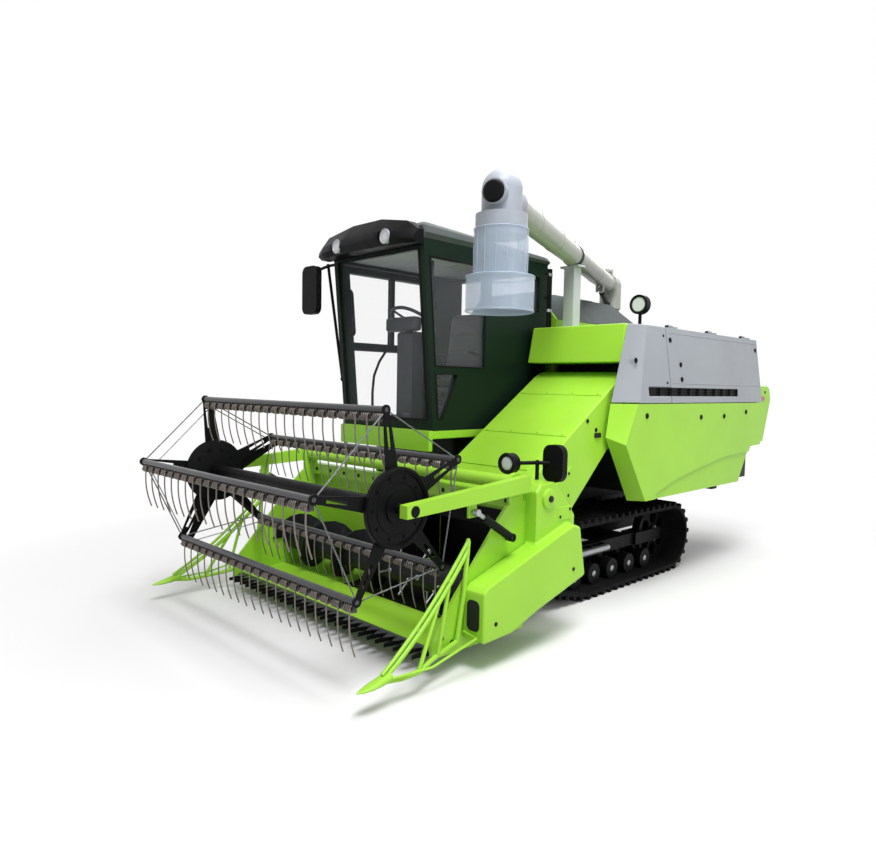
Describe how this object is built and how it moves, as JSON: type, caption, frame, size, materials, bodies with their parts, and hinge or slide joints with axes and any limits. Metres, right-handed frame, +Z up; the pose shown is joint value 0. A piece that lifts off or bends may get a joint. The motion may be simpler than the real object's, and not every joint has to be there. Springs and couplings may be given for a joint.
{
  "type": "combine harvester",
  "caption": "Tracked combine harvester with a glazed cab, feeder house, tined pick-up reel, header and folding grain auger.",
  "frame": {"origin": "centre of the bounding box on the ground, at the tips of the track lugs", "axes": "+X forward, towards the header; +Y to the machine's left; +Z up"},
  "size_m": [5.3618, 2.444, 2.8],
  "materials": {
    "lime_paint": "semi-gloss",
    "gray_panel": "semi-gloss",
    "roof_plastic": "satin",
    "black_paint": "satin",
    "charcoal_paint": "satin",
    "bare_steel": "satin",
    "olive_paint": "satin",
    "track_rubber": "matte",
    "milky_plastic": "satin",
    "tinted_glass": "gloss",
    "seat_leather": "matte",
    "lamp_lens": "gloss"
  },
  "bodies": {
    "chassis": {"chassis_frame": "charcoal_paint", "track_frames": "charcoal_paint", "gearbox": "charcoal_paint", "track_wheels": "bare_steel", "track_left": "track_rubber", "track_right": "track_rubber", "thresher_body": "charcoal_paint", "left_lower_panel": "lime_paint", "left_upper_panel": "gray_panel", "front_cover": "lime_paint", "rear_hood": "lime_paint", "grain_tank": "lime_paint", "tank_roof": "roof_plastic", "engine": "charcoal_paint", "engine_cover": "charcoal_paint", "exhaust_stack": "black_paint", "auger_rest": "roof_plastic", "cab_floor": "lime_paint", "cab_frame": "charcoal_paint", "cab_roof": "roof_plastic", "cab_visor": "black_paint", "cab_glass": "tinted_glass", "seat": "seat_leather", "console": "charcoal_paint", "work_lamps": "lamp_lens", "mirror_right": "black_paint", "auger_riser": "olive_paint"},
    "side_door": {"side_door": "gray_panel"},
    "cab_door": {"door_frame": "charcoal_paint", "door_glass": "tinted_glass"},
    "header": {"feeder_house": "lime_paint", "header_trough": "lime_paint", "header_sides": "lime_paint", "header_drive": "lime_paint", "cutter_bar": "bare_steel", "dividers": "lime_paint", "header_mirror": "black_paint"},
    "header_barrel": {"header_barrel": "black_paint"},
    "header_rod": {"header_rod": "bare_steel"},
    "header_auger": {"header_auger": "bare_steel"},
    "reel_frame": {"reel_frame": "lime_paint"},
    "reel_barrels": {"reel_barrels": "black_paint"},
    "reel_rods": {"reel_rods": "bare_steel"},
    "reel": {"reel": "charcoal_paint"},
    "reel_control": {"reel_control": "charcoal_paint"},
    "bat_1": {"bat_1": "charcoal_paint"},
    "bat_2": {"bat_2": "charcoal_paint"},
    "bat_3": {"bat_3": "charcoal_paint"},
    "bat_4": {"bat_4": "charcoal_paint"},
    "bat_5": {"bat_5": "charcoal_paint"},
    "auger_elbow": {"auger_elbow": "lime_paint"},
    "auger_boom": {"auger_boom": "olive_paint", "auger_sleeve": "milky_plastic", "auger_spout": "roof_plastic"},
    "auger_barrel": {"auger_barrel": "black_paint"},
    "auger_rod": {"auger_rod": "bare_steel"}
  },
  "joints": [
    {"name": "header_lift", "type": "hinge", "parent": "chassis", "child": "header", "pos_m": [-0.21293, 0.5075, 1.446], "axis": [0, -1, 0], "range_deg": [0, 15]},
    {"name": "header_cylinder_tilt", "type": "hinge", "parent": "chassis", "child": "header_barrel", "pos_m": [0.27407, 0.24, 0.56], "axis": [0, -1, 0], "range_deg": [-0.5, 26.86]},
    {"name": "header_cylinder_stroke", "type": "slide", "parent": "header_barrel", "child": "header_rod", "axis": [0.9465, 0, -0.3227], "range_m": [-0.003, 0.2217]},
    {"name": "reel_lift", "type": "hinge", "parent": "header", "child": "reel_frame", "pos_m": [1.29407, 0, 0.985], "axis": [0, -1, 0], "range_deg": [0, 20]},
    {"name": "reel_cylinder_tilt", "type": "hinge", "parent": "header", "child": "reel_barrels", "pos_m": [1.40407, 0, 0.69], "axis": [0, -1, 0], "range_deg": [-0.5, 15.5]},
    {"name": "reel_cylinder_stroke", "type": "slide", "parent": "reel_barrels", "child": "reel_rods", "axis": [0.8562, 0, 0.5167], "range_m": [-0.003, 0.107]},
    {"name": "reel_spin", "type": "hinge", "parent": "reel_frame", "child": "reel", "pos_m": [2.15807, 0, 0.924], "axis": [0, 1, 0], "continuous": true},
    {"name": "reel_control_spin", "type": "hinge", "parent": "reel_frame", "child": "reel_control", "pos_m": [2.10307, -1.075, 0.869], "axis": [0, 1, 0], "continuous": true},
    {"name": "bat_1_turn", "type": "hinge", "parent": "reel", "child": "bat_1", "pos_m": [2.22573, 0, 1.42445], "axis": [0, 1, 0], "continuous": true},
    {"name": "bat_2_turn", "type": "hinge", "parent": "reel", "child": "bat_2", "pos_m": [2.65493, 0, 1.0143], "axis": [0, 1, 0], "continuous": true},
    {"name": "bat_3_turn", "type": "hinge", "parent": "reel", "child": "bat_3", "pos_m": [2.39749, 0, 0.47936], "axis": [0, 1, 0], "continuous": true},
    {"name": "bat_4_turn", "type": "hinge", "parent": "reel", "child": "bat_4", "pos_m": [1.80917, 0, 0.5589], "axis": [0, 1, 0], "continuous": true},
    {"name": "bat_5_turn", "type": "hinge", "parent": "reel", "child": "bat_5", "pos_m": [1.70303, 0, 1.143], "axis": [0, 1, 0], "continuous": true},
    {"name": "header_auger_spin", "type": "hinge", "parent": "header", "child": "header_auger", "pos_m": [1.45907, 0, 0.345], "axis": [0, 1, 0], "continuous": true},
    {"name": "auger_swing", "type": "hinge", "parent": "chassis", "child": "auger_elbow", "pos_m": [-2.11593, -0.48, 2.393], "axis": [0, 0, 1], "range_deg": [0, 150]},
    {"name": "auger_lift", "type": "hinge", "parent": "auger_elbow", "child": "auger_boom", "pos_m": [-1.95413, -0.41331, 2.771], "axis": [0.3811, -0.9245, 0], "range_deg": [0, 30]},
    {"name": "auger_cylinder_tilt", "type": "hinge", "parent": "auger_elbow", "child": "auger_barrel", "pos_m": [-1.9754, -0.42208, 2.425], "axis": [0.3811, -0.9245, 0], "range_deg": [-0.5, 21.7]},
    {"name": "auger_cylinder_stroke", "type": "slide", "parent": "auger_barrel", "child": "auger_rod", "axis": [0.9006, 0.3712, 0.2261], "range_m": [-0.003, 0.1627]},
    {"name": "cab_door_swing", "type": "hinge", "parent": "chassis", "child": "cab_door", "pos_m": [-0.00493, -1.047, 1.9], "axis": [0, 0, -1], "range_deg": [0, 75]},
    {"name": "side_door_lift", "type": "hinge", "parent": "chassis", "child": "side_door", "pos_m": [-1.45093, 0.926, 2.05], "axis": [1, 0, 0], "range_deg": [0, 75]}
  ],
  "couplings": [
    {"joint": "header_cylinder_tilt", "follows": "header_lift", "ratio": 1.7576},
    {"joint": "header_cylinder_stroke", "follows": "header_lift", "m_per_rad": 0.83551},
    {"joint": "reel_cylinder_tilt", "follows": "reel_lift", "ratio": 0.75005},
    {"joint": "reel_cylinder_stroke", "follows": "reel_lift", "m_per_rad": 0.29793},
    {"joint": "auger_cylinder_tilt", "follows": "auger_lift", "ratio": 0.70672},
    {"joint": "auger_cylinder_stroke", "follows": "auger_lift", "m_per_rad": 0.30505},
    {"joint": "reel_control_spin", "follows": "reel_spin", "ratio": 1},
    {"joint": "bat_1_turn", "follows": "reel_spin", "ratio": -1},
    {"joint": "bat_2_turn", "follows": "reel_spin", "ratio": -1},
    {"joint": "bat_3_turn", "follows": "reel_spin", "ratio": -1},
    {"joint": "bat_4_turn", "follows": "reel_spin", "ratio": -1},
    {"joint": "bat_5_turn", "follows": "reel_spin", "ratio": -1}
  ]
}
